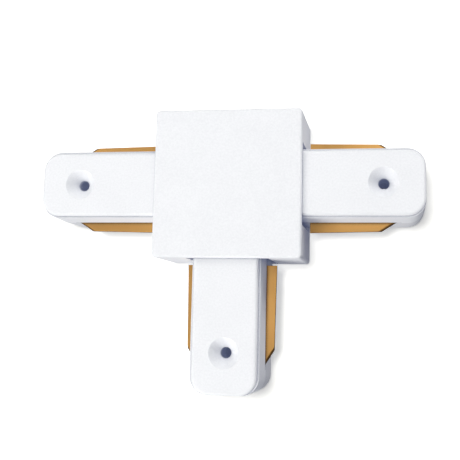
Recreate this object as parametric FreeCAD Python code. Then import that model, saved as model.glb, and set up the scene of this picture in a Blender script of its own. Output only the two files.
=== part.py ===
import FreeCAD, Part
import math
import os

os.makedirs("parts", exist_ok=True)
V = FreeCAD.Vector
UP = V(0, 0, 1)

# Lengths in mm. The base plane that lies on the ceiling is z = 0, the room side is +Z.
# The side arms run along X, the stem runs along -Y, and the origin is the box's base centre.

# Box
box_side = 35.0
box_height = 21.0
box_wall = 2.0
box_roof = 2.0
box_corner_radius = 0.8
box_edge_radius = 0.6
base_plate = 2.4

# Arms, lengths measured from the box wall to the tip
side_arm_length = 28.2
stem_length = 31.1
arm_width = 16.7
arm_wall = 1.7
arm_floor = 1.8
arm_roof = 2.0
arm_lift = 1.0
arm_edge_bevel = 0.5
band_draft = 0.3
tip_draft = 0.1
pad_width = 15.2
pad_height = 1.3
pad_drop = 1.2
pad_edge_radius = 0.8
tip_radius = 4.2
least_radius = 0.5

# Brass sheet
sheet = 0.8
sheet_inner = 5.0
strip_margin = 0.15
blade_reach = 2.1
blade_flare = 0.35
blade_start = 1.1
blade_corner_inset = 10.2
lead_in = 3.3
strip_tail = 1.0
slot_spare = 1.3
slot_breach = 0.3

# Mounting holes
hole_inset = 9.6
hole_radius = 1.3
sink_radius = 3.55
sink_depth = 2.9
boss_wall = 1.7
sink_wall = 1.1
sink_floor = 1.6

# Openings beside the arm roots
root_gap = 1.4
root_head = 0.4
tongue_play = 0.15
tongue_inset = 2.0
tongue_thickness = 1.4

# Screws that hold the two mouldings together
screw_inset = 4.7
screw_radius = 1.2
screw_head_radius = 2.1
screw_head_height = 1.1
screw_head_bevel = 0.35
screw_bite = 0.5
screw_boss_radius = 3.0
screw_play = 0.2
recess_width = 0.6
recess_span = 2.2
recess_depth = 0.7

# Crossing strap, its rivets and the block under it
block_height = 1.2
block_overlap = 0.6
strap_foot = 4.2
strap_ramp = 1.0
rivet_radius = 0.9
rivet_head_radius = 1.45
rivet_head_height = 0.5
strap_play = 0.4

# Locating pegs moulded on the lower part
peg_side = 0.9
peg_play = 0.1
peg_margin = 0.15
peg_inset = 4.5

# Derived sizes
half_box = box_side / 2
half_inner = half_box - box_wall
split = box_height / 2
sheet_top = split + sheet
pad_top = box_height - pad_drop
shoulder = pad_top - pad_height
half_arm = arm_width / 2
half_cavity = half_arm - arm_wall
half_opening = half_arm + root_gap
blade_half = half_arm + blade_reach
opening_top = shoulder + root_head
boss_radius = hole_radius + boss_wall
strip_outer = half_arm - strip_margin
strip_centre = (sheet_inner + strip_outer) / 2
peg_line = half_cavity + peg_margin + peg_side / 2
strap_end = half_inner - strap_play
boss_place = half_box - screw_inset
screw_top = split + screw_bite
over = 1.0
touch = 0.0001

arms = (
    (0.0, half_box + side_arm_length),
    (180.0, half_box + side_arm_length),
    (-90.0, half_box + stem_length),
)


def turned(shape, angle):
    copy = shape.copy()
    copy.rotate(V(0, 0, 0), UP, angle)
    return copy


def block(x0, x1, y0, y1, z0, z1):
    return Part.makeBox(x1 - x0, y1 - y0, z1 - z0, V(x0, y0, z0))


def rod(radius, x, y, z0, z1):
    return Part.makeCylinder(radius, z1 - z0, V(x, y, z0))


def post(side, x, y, z0, z1):
    half = side / 2
    return block(x - half, x + half, y - half, y + half, z0, z1)


def joined(shapes):
    whole = shapes[0].fuse(shapes[1:])
    return whole.removeSplitter()


def prism(points, z0, z1):
    face = Part.Face(Part.makePolygon([V(x, y, z0) for x, y in points + points[:1]]))
    return face.extrude(V(0, 0, z1 - z0))


def arm_outline(half, root, tip, radius, z):
    # closed wire of an arm seen from above, square at the root and rounded at the tip
    bow = radius * (1 - math.sqrt(0.5))
    near = tip - radius
    side = half - radius
    edges = [
        Part.makeLine(V(root, -half, z), V(near, -half, z)),
        Part.Arc(V(near, -half, z), V(tip - bow, bow - half, z), V(tip, -side, z)).toShape(),
        Part.makeLine(V(tip, -side, z), V(tip, side, z)),
        Part.Arc(V(tip, side, z), V(tip - bow, half - bow, z), V(near, half, z)).toShape(),
        Part.makeLine(V(near, half, z), V(root, half, z)),
        Part.makeLine(V(root, half, z), V(root, -half, z)),
    ]
    return Part.Wire(edges)


def arm_solid(half, root, tip, radius, z0, z1):
    return Part.Face(arm_outline(half, root, tip, radius, z0)).extrude(V(0, 0, z1 - z0))


def level_edges(shape, z, beyond):
    # edges at one height that lie past the box wall
    picked = []
    for edge in shape.Edges:
        box = edge.BoundBox
        if abs(box.ZMin - z) < touch and abs(box.ZMax - z) < touch and box.XMax > beyond:
            picked.append(edge)
    return picked


def corner_places():
    places = []
    for x in (-boss_place, boss_place):
        for y in (-boss_place, boss_place):
            places.append((x, y))
    return places


def hollow_radius():
    return max(tip_radius - arm_wall, least_radius)


# Upper moulding: box skirt, inverted channel with three arms, pads and bosses
def upper_arm(tip):
    low = arm_outline(half_arm, 0, tip, tip_radius, split)
    high = arm_outline(half_arm - band_draft, 0, tip - tip_draft, tip_radius, shoulder)
    band = Part.makeLoft([low, high], True, True)
    pad = arm_solid(pad_width / 2, half_inner, tip - tip_draft, tip_radius, shoulder, pad_top)
    rim = [e for e in level_edges(pad, pad_top, half_inner) if e.BoundBox.XMax > half_inner + over]
    pad = pad.makeFillet(pad_edge_radius, rim)
    return [band, pad]


def upper_shell():
    skirt = block(-half_box, half_box, -half_box, half_box, 0, box_height)
    upright = [e for e in skirt.Edges if e.BoundBox.ZLength > box_height / 2]
    skirt = skirt.makeFillet(box_corner_radius, upright)
    crown = [e for e in skirt.Edges if e.BoundBox.ZMin > box_height - touch]
    skirt = skirt.makeFillet(box_edge_radius, crown)
    roof_level = box_height - box_roof
    skirt = skirt.cut(block(-half_inner, half_inner, -half_inner, half_inner, -over, roof_level))
    for angle, tip in arms:
        mouth = block(half_inner - over, half_box + over, -half_opening, half_opening, -over, opening_top)
        skirt = skirt.cut(turned(mouth, angle))
    solids = [skirt]
    for angle, tip in arms:
        solids.extend([turned(piece, angle) for piece in upper_arm(tip)])
    shell = joined(solids)
    for angle, tip in arms:
        inside = arm_solid(half_cavity, 0, tip - arm_wall, hollow_radius(), split - over, pad_top - arm_roof)
        high_room = block(0, half_inner, -half_cavity, half_cavity, split - over, roof_level)
        shell = shell.cut(turned(inside.fuse(high_room), angle))
    bosses = []
    for angle, tip in arms:
        hole = tip - hole_inset
        slim = rod(boss_radius, hole, 0, split, shoulder)
        stout = rod(sink_radius + sink_wall, hole, 0, pad_top - sink_depth - sink_floor, shoulder)
        bosses.extend([turned(slim, angle), turned(stout, angle)])
    for x, y in corner_places():
        bosses.append(rod(screw_boss_radius, x, y, base_plate, roof_level + box_roof / 2))
    shell = joined([shell] + bosses)
    for angle, tip in arms:
        hole = tip - hole_inset
        drill = rod(hole_radius, hole, 0, split - over, pad_top + over)
        slope = (sink_radius - hole_radius) / sink_depth
        rim = sink_radius + slope * over
        sink = Part.makeCone(hole_radius, rim, sink_depth + over, V(hole, 0, pad_top - sink_depth))
        shell = shell.cut(turned(drill.fuse(sink), angle))
        slot_end = tip - blade_corner_inset + lead_in + slot_spare
        for sign in (-1, 1):
            y0, y1 = sorted((sign * sheet_inner, sign * (half_arm + slot_breach)))
            shell = shell.cut(turned(block(0, slot_end, y0, y1, split - over, sheet_top), angle))
    for x, y in corner_places():
        shell = shell.cut(rod(screw_radius, x, y, 0, screw_top + over))
    return shell.cut(strap_room())


def strap_room():
    return block(sheet_inner - strap_play, half_arm + strap_play, -half_inner, half_arm + strap_play,
                 split - over, sheet_top + block_height + sheet + strap_play)


# Lower moulding: base plate, wall tongues and a T-shaped trough
def lower_shell():
    edge = half_inner - tongue_play
    face = half_box - tongue_inset
    solids = [block(-edge, edge, -edge, edge, 0, base_plate)]
    for angle, tip in arms:
        width = half_opening - tongue_play
        sill = block(edge - over, half_box, -width, width, 0, base_plate)
        tongue = block(face - tongue_thickness, face, -width, width, 0, split)
        trough = arm_solid(half_arm, half_inner - over, tip, tip_radius, arm_lift, split)
        trough = trough.makeChamfer(arm_edge_bevel, level_edges(trough, arm_lift, half_inner))
        inner = block(0, half_inner, -half_arm, half_arm, 0, split)
        solids.extend([turned(piece, angle) for piece in (sill, tongue, trough, inner)])
    shell = joined(solids)
    floor = arm_lift + arm_floor
    for angle, tip in arms:
        start = half_arm if angle < 0 else 0
        inside = arm_solid(half_cavity, start, tip - arm_wall, hollow_radius(), floor, split + over)
        shell = shell.cut(turned(inside, angle))
    extras = []
    for angle, tip in arms:
        extras.append(turned(rod(boss_radius, tip - hole_inset, 0, arm_lift, split), angle))
    for x, y in pegs("line") + pegs("neutral") + pegs("stem"):
        extras.append(post(peg_side, x, y, split - over, sheet_top))
    shell = joined([shell] + extras)
    for angle, tip in arms:
        shell = shell.cut(turned(rod(hole_radius, tip - hole_inset, 0, -over, split + over), angle))
    for x, y in corner_places():
        shell = shell.cut(rod(screw_radius + screw_play, x, y, -over, base_plate + over))
        shell = shell.cut(rod(screw_head_radius + screw_play, x, y, -over, screw_head_height + screw_play))
    for x, y in rivets():
        shell = shell.cut(rod(rivet_head_radius + screw_play, x, y, split - rivet_head_height - screw_play, split))
    return shell


def pegs(name):
    inner_place = half_inner - peg_inset
    outer_place = half_box + peg_inset
    if name == "line":
        return [(-inner_place, peg_line), (inner_place, peg_line)]
    if name == "neutral":
        return [(-inner_place, -peg_line), (inner_place, -peg_line), (-peg_line, -outer_place)]
    return [(peg_line, -outer_place)]


# Conductors stamped from sheet, blades drawn in plan, slightly wider at the root than at the lead-in
def blade_points(tip, start, inner_end):
    corner = tip - blade_corner_inset
    run = lead_in / blade_reach
    tail = corner + lead_in + strip_tail
    beside = half_arm - strip_tail / run
    return [
        (inner_end, sheet_inner), (tail, sheet_inner), (tail, beside), (corner, blade_half),
        (start, blade_half + blade_flare), (start, strip_outer), (inner_end, strip_outer),
    ]


def blade(tip, inner_end, mirror, angle):
    points = blade_points(tip, half_box + blade_start, inner_end)
    if mirror:
        points = [(x, -y) for x, y in points]
    return turned(prism(points, split, sheet_top), angle)


def stamped(solids, name, holes):
    shape = joined(solids)
    for x, y in pegs(name):
        shape = shape.cut(post(peg_side + 2 * peg_play, x, y, split - over, sheet_top + over))
    for x, y in holes:
        shape = shape.cut(rod(rivet_radius, x, y, split - over, sheet_top + over))
    return shape


def line_strip():
    tip = arms[0][1]
    return stamped([blade(tip, 0, False, 0), blade(tip, 0, True, 180)], "line", rivets()[:1])


def neutral_strip():
    tip = arms[0][1]
    stem = arms[2][1]
    return stamped([blade(tip, 0, True, 0), blade(tip, 0, False, 180), blade(stem, sheet_inner, True, -90)],
                   "neutral", [])


def stem_blade():
    return stamped([blade(arms[2][1], strap_end - strap_foot, False, -90)], "stem", rivets()[1:])


def rivets():
    return [(strip_centre, strip_centre), (strip_centre, strap_foot / 2 - strap_end)]


def crossing_strap():
    y_back = strip_outer
    y_rise = sheet_inner - strap_play
    y_fall = strap_foot - strap_end
    low = sheet_top
    high = sheet_top + block_height
    under = [(y_back, low), (y_rise, low), (y_rise - strap_ramp, high), (y_fall + strap_ramp, high),
             (y_fall, low), (-strap_end, low)]
    above = [(y, z + sheet) for y, z in reversed(under)]
    outline = [V(sheet_inner, y, z) for y, z in under + above + under[:1]]
    strap = Part.Face(Part.makePolygon(outline)).extrude(V(strip_outer - sheet_inner, 0, 0))
    for x, y in rivets():
        strap = strap.cut(rod(rivet_radius, x, y, low - over, low + sheet + over))
    return strap


def crossing_block():
    return block(sheet_inner, strip_outer, -strip_outer - block_overlap, block_overlap - sheet_inner,
                 sheet_top, sheet_top + block_height)


def rivet(x, y):
    stack = sheet_top + sheet
    shank = rod(rivet_radius, x, y, split, stack)
    foot = rod(rivet_head_radius, x, y, split - rivet_head_height, split)
    head = rod(rivet_head_radius, x, y, stack, stack + rivet_head_height)
    return joined([shank, foot, head])


def screw(x, y):
    seat = screw_head_height + screw_play
    crown = Part.makeCone(screw_head_radius - screw_head_bevel, screw_head_radius, screw_head_bevel,
                          V(x, y, screw_play))
    head = rod(screw_head_radius, x, y, screw_play + screw_head_bevel, seat)
    shape = joined([crown, head, rod(screw_radius, x, y, seat, screw_top)])
    for turn in (0, 90):
        bar = block(-recess_span / 2, recess_span / 2, -recess_width / 2, recess_width / 2,
                    0, screw_play + recess_depth)
        bar = turned(bar, turn)
        bar.translate(V(x, y, 0))
        shape = shape.cut(bar)
    return shape


shapes = {
    "upper_shell": upper_shell(),
    "lower_shell": lower_shell(),
    "line_strip": line_strip(),
    "neutral_strip": neutral_strip(),
    "stem_blade": stem_blade(),
    "crossing_strap": crossing_strap(),
    "crossing_block": crossing_block(),
}
for label, place in zip(("line", "stem"), rivets()):
    shapes["rivet_" + label] = rivet(*place)
for label, place in zip(("front_left", "back_left", "front_right", "back_right"), corner_places()):
    shapes["screw_" + label] = screw(*place)

for name, shape in shapes.items():
    shape.exportStep("parts/" + name + ".step")
    box = shape.BoundBox
    print(name, len(shape.Solids), shape.isValid(), round(shape.Volume, 1),
          [round(v, 2) for v in (box.XMin, box.XMax, box.YMin, box.YMax, box.ZMin, box.ZMax)])
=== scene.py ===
import math

import bpy
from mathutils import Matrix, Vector


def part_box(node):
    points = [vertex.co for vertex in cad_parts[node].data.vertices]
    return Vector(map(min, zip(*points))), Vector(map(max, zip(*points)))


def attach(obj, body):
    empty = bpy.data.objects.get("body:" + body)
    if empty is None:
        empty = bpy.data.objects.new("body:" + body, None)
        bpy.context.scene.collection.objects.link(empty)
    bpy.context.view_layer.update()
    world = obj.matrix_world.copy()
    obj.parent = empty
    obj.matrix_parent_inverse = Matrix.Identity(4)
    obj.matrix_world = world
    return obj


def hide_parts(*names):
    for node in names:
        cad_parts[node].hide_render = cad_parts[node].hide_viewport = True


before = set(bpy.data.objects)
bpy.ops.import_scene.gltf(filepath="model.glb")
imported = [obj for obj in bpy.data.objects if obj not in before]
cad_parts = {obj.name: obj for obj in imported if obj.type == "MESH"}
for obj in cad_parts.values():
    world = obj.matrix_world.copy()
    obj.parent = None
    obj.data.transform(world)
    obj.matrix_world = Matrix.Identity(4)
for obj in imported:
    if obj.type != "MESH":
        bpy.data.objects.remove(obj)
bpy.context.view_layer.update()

mm = 0.001
print("frame loaded:", len(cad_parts), "nodes")


# Colour and node helpers

def srgb(hexText, alpha=1.0):
    # a hex colour as the linear values that the shader sockets take
    values = []
    for start in (0, 2, 4):
        v = int(hexText[start:start + 2], 16) / 255
        values.append(v / 12.92 if v <= 0.04045 else ((v + 0.055) / 1.055) ** 2.4)
    return (values[0], values[1], values[2], alpha)


def addNode(owner, kind, settings=None, inputs=None, links=None):
    # one node of a material or the world, with its settings, its fixed inputs and its links,
    # given as socket: (node, output)
    node = owner.node_tree.nodes.new(kind)
    for key, value in (settings or {}).items():
        setattr(node, key, value)
    for key, value in (inputs or {}).items():
        node.inputs[key].default_value = value
    for key, (source, output) in (links or {}).items():
        owner.node_tree.links.new(source.outputs[output], node.inputs[key])
    return node


def newMaterial(name):
    material = bpy.data.materials.new(name)
    material.use_nodes = True
    material.node_tree.nodes.clear()
    return material


def closeMaterial(material, shader):
    addNode(material, "ShaderNodeOutputMaterial", links={"Surface": (shader, 0)})
    return material


# Materials, with the real sizes of their patterns in mm

absGrain = {
    "cloud": 7,
    "speck": 0.45,
    "crater": 0.25,
    "craterDepth": 0.02,
    "creaseShadeReach": 0.6,
    "holeShadeReach": 3.0,
}


def whiteAbs(name, colour, rough, grain, cornerSoft, glow):
    # injection-moulded white ABS out of a spark-eroded mould: a cool white with a fine satin grain,
    # so highlights spread wide and soft, and a hardly visible cloudiness where the melt has flowed;
    # the faint cool glow is painted light, an emission that lifts holes and shaded sides towards a bluish grey
    m = newMaterial(name)
    place = addNode(m, "ShaderNodeTexCoord")
    cloud = addNode(m, "ShaderNodeTexNoise", {"noise_dimensions": "3D"},
                    {"Scale": 1 / (absGrain["cloud"] * mm), "Detail": 2.0, "Roughness": 0.5},
                    {"Vector": (place, "Object")})
    speck = addNode(m, "ShaderNodeTexNoise", {"noise_dimensions": "3D"},
                    {"Scale": 1 / (absGrain["speck"] * mm), "Detail": 2.0, "Roughness": 0.6},
                    {"Vector": (place, "Object")})
    both = addNode(m, "ShaderNodeMix", {"data_type": "FLOAT"}, {0: 0.75}, {2: (cloud, "Fac"), 3: (speck, "Fac")})
    tint = addNode(m, "ShaderNodeValToRGB", links={"Fac": (both, 0)})
    tint.color_ramp.elements[0].position = 0.35
    tint.color_ramp.elements[1].position = 0.65
    tint.color_ramp.elements[0].color = srgb(colour[0])
    tint.color_ramp.elements[1].color = srgb(colour[1])
    # painted shade: inner corners of the moulding, deep holes and slots are darkened towards the shade colour by two
    # occlusion masks
    corner = addNode(m, "ShaderNodeAmbientOcclusion", {"samples": 8}, {"Distance": absGrain["creaseShadeReach"] * mm})
    unshaded = addNode(m, "ShaderNodeMapRange", inputs={"From Min": 0.3, "From Max": 0.85},
                    links={"Value": (corner, "AO")})
    deep = addNode(m, "ShaderNodeAmbientOcclusion", {"samples": 8}, {"Distance": absGrain["holeShadeReach"] * mm})
    opened = addNode(m, "ShaderNodeMapRange", inputs={"From Min": 0.15, "From Max": 0.5},
                     links={"Value": (deep, "AO")})
    least = addNode(m, "ShaderNodeMath", {"operation": "MINIMUM"},
                    links={0: (unshaded, "Result"), 1: (opened, "Result")})
    colourNode = addNode(m, "ShaderNodeMix", {"data_type": "RGBA"}, {6: srgb(colour[2])},
                         {0: (least, 0), 7: (tint, "Color")})
    # erosion craters are about 0.05 mm wide, drawn five times coarser so that they show in the render
    crater = addNode(m, "ShaderNodeTexNoise", {"noise_dimensions": "3D"},
                     {"Scale": 1 / (absGrain["crater"] * mm), "Detail": 3.0, "Roughness": 0.6},
                     {"Vector": (place, "Object")})
    sheen = addNode(m, "ShaderNodeMapRange", inputs={"From Min": 0.3, "From Max": 0.7,
                    "To Min": rough - 0.04, "To Max": rough + 0.05}, links={"Value": (crater, "Fac")})
    edge = addNode(m, "ShaderNodeBevel", {"samples": 6}, {"Radius": cornerSoft * mm})
    bump = addNode(m, "ShaderNodeBump", inputs={"Strength": grain, "Distance": absGrain["craterDepth"] * mm},
                   links={"Height": (crater, "Fac"), "Normal": (edge, "Normal")})
    shader = addNode(m, "ShaderNodeBsdfPrincipled",
                     inputs={"IOR": 1.53, "Specular IOR Level": 0.35, "Metallic": 0.0,
                             "Emission Color": srgb(glow[0]), "Emission Strength": glow[1]},
                     links={"Base Color": (colourNode, 2), "Roughness": (sheen, "Result"), "Normal": (bump, "Normal")})
    return closeMaterial(m, shader)


brassGrain = {
    "lineLength": 9,
    "lineWidth": 0.12,
    "lineDepth": 0.004,
    "blotch": 4,
    "contactShadeReach": 1.0,
    "edgeSoft": 0.06,
}


def rolledBrass(name, face, streak, sideShade, contactShade):
    # cold-rolled brass sheet, blanked in a press: fine rolling lines give the flat faces a soft long sheen,
    # and the sheared side faces are rougher and painted a dark brown shade, so they look darker beside the faces
    m = newMaterial(name)
    place = addNode(m, "ShaderNodeTexCoord")
    long, wide = 1 / (brassGrain["lineLength"] * mm), 1 / (brassGrain["lineWidth"] * mm)
    along = addNode(m, "ShaderNodeMapping", inputs={"Scale": (long, wide, long)}, links={"Vector": (place, "Object")})
    lines = addNode(m, "ShaderNodeTexNoise", {"noise_dimensions": "3D"},
                    {"Scale": 1.0, "Detail": 3.0, "Roughness": 0.65}, {"Vector": (along, "Vector")})
    blotch = addNode(m, "ShaderNodeTexNoise", {"noise_dimensions": "3D"},
                     {"Scale": 1 / (brassGrain["blotch"] * mm), "Detail": 2.0, "Roughness": 0.5},
                     {"Vector": (place, "Object")})
    mix = addNode(m, "ShaderNodeMix", {"data_type": "FLOAT"}, {0: 0.5}, {2: (lines, "Fac"), 3: (blotch, "Fac")})
    tone = addNode(m, "ShaderNodeValToRGB", links={"Fac": (mix, 0)})
    tone.color_ramp.elements[0].position = 0.35
    tone.color_ramp.elements[1].position = 0.65
    tone.color_ramp.elements[0].color = srgb(streak)
    tone.color_ramp.elements[1].color = srgb(face)
    split = addNode(m, "ShaderNodeSeparateXYZ", links={"Vector": (place, "Normal")})
    flat = addNode(m, "ShaderNodeMath", {"operation": "ABSOLUTE"}, links={0: (split, "Z")})
    sideFace = addNode(m, "ShaderNodeMapRange", inputs={"From Min": 0.98, "From Max": 0.55}, links={"Value": (flat, 0)})
    colour = addNode(m, "ShaderNodeMix", {"data_type": "RGBA"}, {7: srgb(sideShade)},
                     {0: (sideFace, "Result"), 6: (tone, "Color")})
    # painted contact shade: the faces are darkened where they enter the moulding
    corner = addNode(m, "ShaderNodeAmbientOcclusion", {"samples": 8}, {"Distance": brassGrain["contactShadeReach"] * mm})
    unshaded = addNode(m, "ShaderNodeMapRange", inputs={"From Min": 0.5, "From Max": 0.92},
                    links={"Value": (corner, "AO")})
    colourNode = addNode(m, "ShaderNodeMix", {"data_type": "RGBA"}, {6: srgb(contactShade)},
                         {0: (unshaded, "Result"), 7: (colour, 2)})
    rough = addNode(m, "ShaderNodeMapRange", inputs={"To Min": 0.52, "To Max": 0.75}, links={"Value": (sideFace, "Result")})
    edge = addNode(m, "ShaderNodeBevel", {"samples": 6}, {"Radius": brassGrain["edgeSoft"] * mm})
    bump = addNode(m, "ShaderNodeBump", inputs={"Strength": 0.3, "Distance": brassGrain["lineDepth"] * mm},
                   links={"Height": (lines, "Fac"), "Normal": (edge, "Normal")})
    shader = addNode(m, "ShaderNodeBsdfPrincipled", inputs={"Metallic": 1.0},
                     links={"Base Color": (colourNode, 2), "Roughness": (rough, "Result"), "Normal": (bump, "Normal")})
    return closeMaterial(m, shader)


zincGrain = {"blotch": 0.8, "edgeSoft": 0.08}


def zincPlate(name, colour):
    # bright zinc on mild steel: a cool grey metal, slightly blotched by the passivation
    m = newMaterial(name)
    place = addNode(m, "ShaderNodeTexCoord")
    blotch = addNode(m, "ShaderNodeTexNoise", {"noise_dimensions": "3D"},
                     {"Scale": 1 / (zincGrain["blotch"] * mm), "Detail": 3.0, "Roughness": 0.6},
                     {"Vector": (place, "Object")})
    tone = addNode(m, "ShaderNodeValToRGB", links={"Fac": (blotch, "Fac")})
    tone.color_ramp.elements[0].color = srgb(colour[0])
    tone.color_ramp.elements[1].color = srgb(colour[1])
    rough = addNode(m, "ShaderNodeMapRange", inputs={"To Min": 0.28, "To Max": 0.45}, links={"Value": (blotch, "Fac")})
    edge = addNode(m, "ShaderNodeBevel", {"samples": 6}, {"Radius": zincGrain["edgeSoft"] * mm})
    shader = addNode(m, "ShaderNodeBsdfPrincipled", inputs={"Metallic": 1.0},
                     links={"Base Color": (tone, "Color"), "Roughness": (rough, "Result"), "Normal": (edge, "Normal")})
    return closeMaterial(m, shader)


# white plastics: name, colours (clouds, specks, painted shade in corners, holes and slots), roughness, grain, softened
# edge in mm, painted cool glow
materials = {
    "upper": whiteAbs("whiteAbsSatin", ("dbdbd8", "e2e2df", "6e6e76"), 0.72, 0.5, 0.2, ("b4c4ff", 0.11)),
    # the lower shell is the same white plastic, painted a shade darker so that it reads as shaded below the upper shell
    "lower": whiteAbs("whiteAbsLowerShaded", ("cdcdcb", "d4d4d2", "66666f"), 0.74, 0.5, 0.2, ("b4c4ff", 0.09)),
    # brass: face and rolling-streak colours, painted shade on the side faces, painted contact shade where the strips
    # enter the moulding
    "brass": rolledBrass("rolledBrassSheet", "cfa05f", "cb9c5c", "3e2814", "33292a"),
    "block": whiteAbs("creamInsulator", ("d6d1c4", "ddd9cd", "8c887e"), 0.70, 0.5, 0.06, ("fff4e0", 0.02)),
    "steel": zincPlate("zincPlatedSteel", ("9ea3a8", "c3c7ca")),
}

nodeFinish = {
    "upper_shell": "upper", "lower_shell": "lower", "crossing_block": "block",
    "line_strip": "brass", "neutral_strip": "brass", "stem_blade": "brass", "crossing_strap": "brass",
    "rivet_line": "brass", "rivet_stem": "brass",
    "screw_front_left": "steel", "screw_back_left": "steel",
    "screw_front_right": "steel", "screw_back_right": "steel",
}
for nodeName, finish in nodeFinish.items():
    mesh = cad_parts[nodeName].data
    mesh.materials.clear()
    mesh.materials.append(materials[finish])
print("materials made:", len(materials))


# Modelling helpers

smoothAngle = math.radians(35)


def deselect():
    if bpy.context.object and bpy.context.object.mode == "EDIT":
        bpy.ops.object.mode_set(mode="OBJECT")
    bpy.ops.object.select_all(action="DESELECT")


def activate(piece):
    deselect()
    piece.select_set(True)
    bpy.context.view_layer.objects.active = piece


def pickFaces(piece, wanted):
    # in edit mode: only the faces for which wanted(centre, normal) holds stay selected
    bpy.ops.mesh.select_mode(type="FACE")
    bpy.ops.mesh.select_all(action="DESELECT")
    bpy.ops.object.mode_set(mode="OBJECT")
    for face in piece.data.polygons:
        face.select = wanted(face.center, face.normal)
    bpy.ops.object.mode_set(mode="EDIT")


def pickEdges(piece, wanted):
    # the same for edges, by their two ends
    bpy.ops.mesh.select_mode(type="EDGE")
    bpy.ops.mesh.select_all(action="DESELECT")
    bpy.ops.object.mode_set(mode="OBJECT")
    for edge in piece.data.edges:
        start, end = (piece.data.vertices[i].co for i in edge.vertices)
        edge.select = wanted(start, end)
    bpy.ops.object.mode_set(mode="EDIT")


def applyModifier(piece, name, kind, **settings):
    modifier = piece.modifiers.new(name, kind)
    for key, value in settings.items():
        setattr(modifier, key, value)
    bpy.ops.object.modifier_apply(modifier=name)


def applyPlace(piece):
    activate(piece)
    bpy.ops.object.transform_apply(location=True, rotation=True, scale=True)


def finishPiece(piece, name, finish, body, nodes):
    piece.name = name
    piece.data.name = name
    piece.data.materials.clear()
    piece.data.materials.append(materials[finish])
    activate(piece)
    bpy.ops.object.shade_smooth_by_angle(angle=smoothAngle)
    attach(piece, body)
    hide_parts(*nodes)


# Case screws: pan-head self-tapping screws with a cross recess, seen from below in their counterbores

caseScrew = {
    "nodes": ("screw_front_left", "screw_back_left", "screw_front_right", "screw_back_right"),
    "names": ("caseScrewFrontLeft", "caseScrewBackLeft", "caseScrewFrontRight", "caseScrewBackRight"),
    "turns": (20, 65, -35, 110),
    "sides": 40,
    "headHeight": 1.1,
    "crown": 0.42,
    "crownSteps": 5,
    "core": 0.92,
    "threadHeight": 0.26,
    "threadWidth": 0.42,
    "pitch": 0.95,
    "threadSteps": 20,
    "pointLength": 1.3,
    "pointScale": 0.2,
    "crossSpan": 2.3,
    "crossWidth": 0.62,
    "crossDepth": 0.8,
    "crossTaper": 0.6,
}


def makeCaseScrew():
    size = caseScrew
    low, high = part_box(size["nodes"][0])
    headRadius = (high.x - low.x) / 2
    headTop = low.z + size["headHeight"] * mm
    deselect()
    bpy.ops.mesh.primitive_cylinder_add(vertices=size["sides"], radius=headRadius, depth=size["headHeight"] * mm,
                                        location=(0, 0, (low.z + headTop) / 2))
    screw = bpy.context.object
    bpy.ops.object.transform_apply(location=True, rotation=True, scale=True)
    bpy.ops.object.mode_set(mode="EDIT")
    pickFaces(screw, lambda centre, normal: normal.z < -0.9)
    bpy.ops.mesh.bevel(offset=size["crown"] * mm, segments=size["crownSteps"], affect="EDGES")
    pickFaces(screw, lambda centre, normal: normal.z > 0.9)
    bpy.ops.mesh.inset(thickness=headRadius - size["core"] * mm)
    shankEnd = high.z - size["pointLength"] * mm
    bpy.ops.mesh.extrude_region_move(TRANSFORM_OT_translate={"value": (0, 0, shankEnd - headTop)})
    bpy.ops.mesh.extrude_region_move(TRANSFORM_OT_translate={"value": (0, 0, high.z - shankEnd)})
    bpy.ops.transform.resize(value=(size["pointScale"], size["pointScale"], 1))
    bpy.ops.object.mode_set(mode="OBJECT")
    # cross recess, narrower at its floor
    for angle in (0, 90):
        deselect()
        bpy.ops.mesh.primitive_cube_add(size=1, location=(0, 0, low.z), rotation=(0, 0, math.radians(angle)),
                                        scale=(size["crossSpan"] * mm, size["crossWidth"] * mm,
                                               2 * size["crossDepth"] * mm))
        cutter = bpy.context.object
        bpy.ops.object.transform_apply(location=True, rotation=True, scale=True)
        bpy.ops.object.mode_set(mode="EDIT")
        pickFaces(cutter, lambda centre, normal: normal.z > 0.9)
        bpy.ops.transform.resize(value=(size["crossTaper"], size["crossTaper"], 1))
        bpy.ops.object.mode_set(mode="OBJECT")
        activate(screw)
        applyModifier(screw, "recess", "BOOLEAN", operation="DIFFERENCE", object=cutter, solver="EXACT")
        bpy.data.objects.remove(cutter)
    # thread: a triangle wound up round the core
    deselect()
    half = size["threadWidth"] / 2 * mm
    bpy.ops.mesh.primitive_circle_add(vertices=3, radius=half, fill_type="NOTHING",
                                      location=(size["core"] * mm, 0, headTop + size["pitch"] / 2 * mm),
                                      rotation=(math.radians(90), 0, 0))
    thread = bpy.context.object
    bpy.ops.object.transform_apply(location=False, rotation=True, scale=True)
    bpy.ops.object.mode_set(mode="EDIT")
    bpy.ops.mesh.select_all(action="SELECT")
    bpy.ops.transform.rotate(value=math.radians(90), orient_axis="Y", center_override=thread.location)
    bpy.ops.transform.resize(value=(size["threadHeight"] / size["threadWidth"] * 2, 1, 1),
                             center_override=thread.location)
    bpy.ops.object.mode_set(mode="OBJECT")
    applyPlace(thread)
    rounds = int((shankEnd - headTop) / (size["pitch"] * mm)) - 1
    applyModifier(thread, "helix", "SCREW", axis="Z", angle=math.radians(360),
                  steps=size["threadSteps"], render_steps=size["threadSteps"],
                  screw_offset=size["pitch"] * mm, iterations=rounds, use_merge_vertices=False)
    bpy.ops.object.mode_set(mode="EDIT")
    bpy.ops.mesh.select_all(action="SELECT")
    bpy.ops.mesh.fill_holes(sides=3)
    bpy.ops.mesh.select_all(action="SELECT")
    bpy.ops.mesh.normals_make_consistent(inside=False)
    bpy.ops.object.mode_set(mode="OBJECT")
    thread.select_set(True)
    screw.select_set(True)
    bpy.context.view_layer.objects.active = screw
    bpy.ops.object.join()
    return screw


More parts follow.
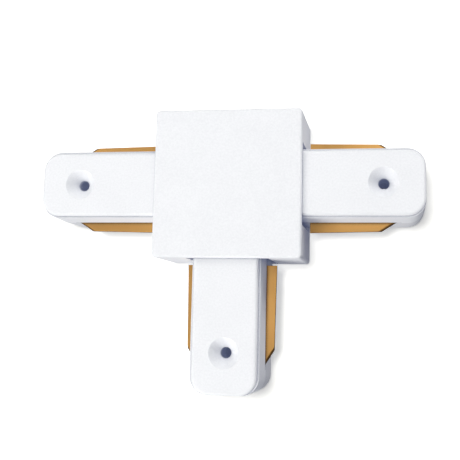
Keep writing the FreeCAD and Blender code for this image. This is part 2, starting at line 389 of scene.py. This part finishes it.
firstScrew = makeCaseScrew()
for number, nodeName in enumerate(caseScrew["nodes"]):
    low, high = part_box(nodeName)
    piece = firstScrew.copy()
    piece.data = firstScrew.data.copy()
    bpy.context.scene.collection.objects.link(piece)
    piece.rotation_euler.z = math.radians(caseScrew["turns"][number])
    piece.location = ((low.x + high.x) / 2, (low.y + high.y) / 2, 0)
    applyPlace(piece)
    finishPiece(piece, caseScrew["names"][number], "steel", "root", [nodeName])
bpy.data.objects.remove(firstScrew)
print("case screws made:", len(caseScrew["nodes"]))


# Conductors: the same stamped strips with the rolled-over upper edge that the press leaves,
# and with slanting ends that are coined thinner, so that a blade slides into the track

stampedStrip = {
    "pieces": {"line_strip": "lineStripStamped", "neutral_strip": "neutralStripStamped",
               "stem_blade": "stemBladeStamped"},
    "dieRoll": 0.22,
    "rollSteps": 3,
    "sharpAngle": 40,
    "leadIn": 0.42,
    "leadInReach": 30.0,
}


def mergedCopy(nodeName):
    # a copy of a node with its loose triangles merged into whole faces
    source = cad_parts[nodeName]
    piece = bpy.data.objects.new(nodeName + "Copy", source.data.copy())
    bpy.context.scene.collection.objects.link(piece)
    activate(piece)
    bpy.ops.mesh.customdata_custom_splitnormals_clear()
    bpy.ops.object.mode_set(mode="EDIT")
    bpy.ops.mesh.select_all(action="SELECT")
    bpy.ops.mesh.remove_doubles(threshold=0.001 * mm)
    bpy.ops.mesh.dissolve_limited(angle_limit=math.radians(0.5))
    bpy.ops.object.mode_set(mode="OBJECT")
    return piece


def isLeadIn(start, end, top):
    # a slanting end of a blade, on the upper face and far out
    run = end - start
    onTop = min(start.z, end.z) > top - 0.01 * mm
    farOut = min(start.length, end.length) > stampedStrip["leadInReach"] * mm
    slanting = min(abs(run.x), abs(run.y)) > 0.3 * run.length
    return onTop and farOut and slanting


for nodeName, pieceName in stampedStrip["pieces"].items():
    piece = mergedCopy(nodeName)
    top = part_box(nodeName)[1].z
    bpy.ops.object.mode_set(mode="EDIT")
    pickEdges(piece, lambda start, end: isLeadIn(start, end, top))
    bpy.ops.mesh.bevel(offset=stampedStrip["leadIn"] * mm, segments=1, affect="EDGES")
    bpy.ops.object.mode_set(mode="OBJECT")
    applyModifier(piece, "dieRoll", "BEVEL", width=stampedStrip["dieRoll"] * mm, segments=stampedStrip["rollSteps"],
                  limit_method="ANGLE", angle_limit=math.radians(stampedStrip["sharpAngle"]))
    finishPiece(piece, pieceName, "brass", "root", [nodeName])
print("stamped strips made:", len(stampedStrip["pieces"]))


# Floor, light and camera

studio = {
    "floorSize": 3.0,
    "floorSeen": "fafaf8",
    "floorBounced": "5a5a5e",
    "floorGlow": ("fdfdfb", 0.51),
    "wall": "c6c7c7",
    "aim": (0.0, -0.01, 0.015),
    "lampRise": 0.01,
    # soft lamps round the object: name, turn round z, height angle, distance, size, power, colour
    "lamps": (
        ("frontLeft", 240, 32, 0.50, 0.30, 2.00, "ffffff"),
        ("back", 60, 32, 0.50, 0.30, 1.12, "ffffff"),
        ("leftBack", 150, 32, 0.50, 0.30, 0.86, "ffffff"),
        ("overheadRight", 340, 80, 0.50, 0.12, 0.34, "ffffff"),
        ("overheadBack", 60, 75, 0.50, 0.30, 0.33, "ffffff"),
        ("backFill", 90, 32, 0.50, 0.30, 0.30, "ffffff"),
        ("rightFill", 0, 30, 0.50, 0.30, 0.20, "ffffff"),
        ("frontFloor", 270, 5, 0.62, 0.13, 0.90, "ffffff"),
        ("rightFloor", 30, 5, 0.62, 0.13, 0.98, "ffffff"),
        ("frontLeftFloor", 240, 5, 0.62, 0.13, 0.24, "ffffff"),
    ),
    # one lamp for the paper alone, so that the many soft shadows don't grey it
    "paperLamp": ("paper", 138, 86.6, 0.60, 0.15, 2.9, "fffefa"),
}

deselect()
bpy.ops.mesh.primitive_plane_add(size=studio["floorSize"], location=(0, 0, 0))
floor = bpy.context.object
floor.name = "floor"
paper = newMaterial("paleFloorPaper")
# matt white paper sweep, slightly translucent and lit from below: clean white to the lens,
# greyer to the light that bounces off it, so the walls near the floor fall off as on a table
path = addNode(paper, "ShaderNodeLightPath")
lit = addNode(paper, "ShaderNodeBsdfDiffuse", inputs={"Color": srgb(studio["floorSeen"])})
glow = addNode(paper, "ShaderNodeEmission", inputs={"Color": srgb(studio["floorGlow"][0]),
               "Strength": studio["floorGlow"][1]})
seen = addNode(paper, "ShaderNodeAddShader", links={0: (lit, 0), 1: (glow, 0)})
bounced = addNode(paper, "ShaderNodeBsdfDiffuse", inputs={"Color": srgb(studio["floorBounced"])})
either = addNode(paper, "ShaderNodeMixShader", links={0: (path, "Is Camera Ray"), 1: (bounced, 0), 2: (seen, 0)})
closeMaterial(paper, either)
floor.data.materials.append(paper)

# a pale studio wall, seen behind the paper but too far off to light the object
world = bpy.data.worlds.new("paleWall")
bpy.context.scene.world = world
world.use_nodes = True
wall = world.node_tree.nodes["Background"]
wall.inputs["Color"].default_value = srgb(studio["wall"])
wallPath = addNode(world, "ShaderNodeLightPath")
world.node_tree.links.new(wallPath.outputs["Is Camera Ray"], wall.inputs["Strength"])


def addLamp(lampName, turn, height, distance, lampSize, power, colour, received, state):
    # a disk aimed at the object; it lights only the received things, or all but them
    data = bpy.data.lights.new(lampName + "Lamp", "AREA")
    data.shape = "DISK"
    data.size = lampSize
    data.energy = power
    data.color = srgb(colour)[:3]
    lamp = bpy.data.objects.new(lampName + "Lamp", data)
    bpy.context.scene.collection.objects.link(lamp)
    turnAngle = math.radians(turn)
    heightAngle = math.radians(height)
    reach = distance * math.cos(heightAngle)
    lamp.location = (reach * math.cos(turnAngle), reach * math.sin(turnAngle),
                     distance * math.sin(heightAngle) + studio["lampRise"])
    lamp.rotation_euler = (Vector(studio["aim"]) - lamp.location).to_track_quat("-Z", "Y").to_euler()
    lamp.visible_camera = False
    group = bpy.data.collections.new(lampName + "Lit")
    group.objects.link(received)
    group.collection_objects[0].light_linking.link_state = state
    lamp.light_linking.receiver_collection = group


for lampRow in studio["lamps"]:
    addLamp(*lampRow, floor, "EXCLUDE")
addLamp(*studio["paperLamp"], floor, "INCLUDE")

# the photograph's viewing angle: place in metres, turn in degrees
view = {
    "place": (0.03708, -0.03123, 0.20881),
    "turn": (9.354, 9.151, 1.082),
    "lens": 65.304,
    "shift": (-0.05, -0.1),
}
cameraData = bpy.data.cameras.new("photoCamera")
cameraData.sensor_width = 36
cameraData.lens = view["lens"]
cameraData.shift_x = view["shift"][0]
cameraData.shift_y = view["shift"][1]
cameraData.clip_start = 0.01
camera = bpy.data.objects.new("photoCamera", cameraData)
bpy.context.scene.collection.objects.link(camera)
camera.location = view["place"]
camera.rotation_euler = [math.radians(a) for a in view["turn"]]
bpy.context.scene.camera = camera
bpy.context.scene.view_settings.view_transform = "Standard"
print("stage set")
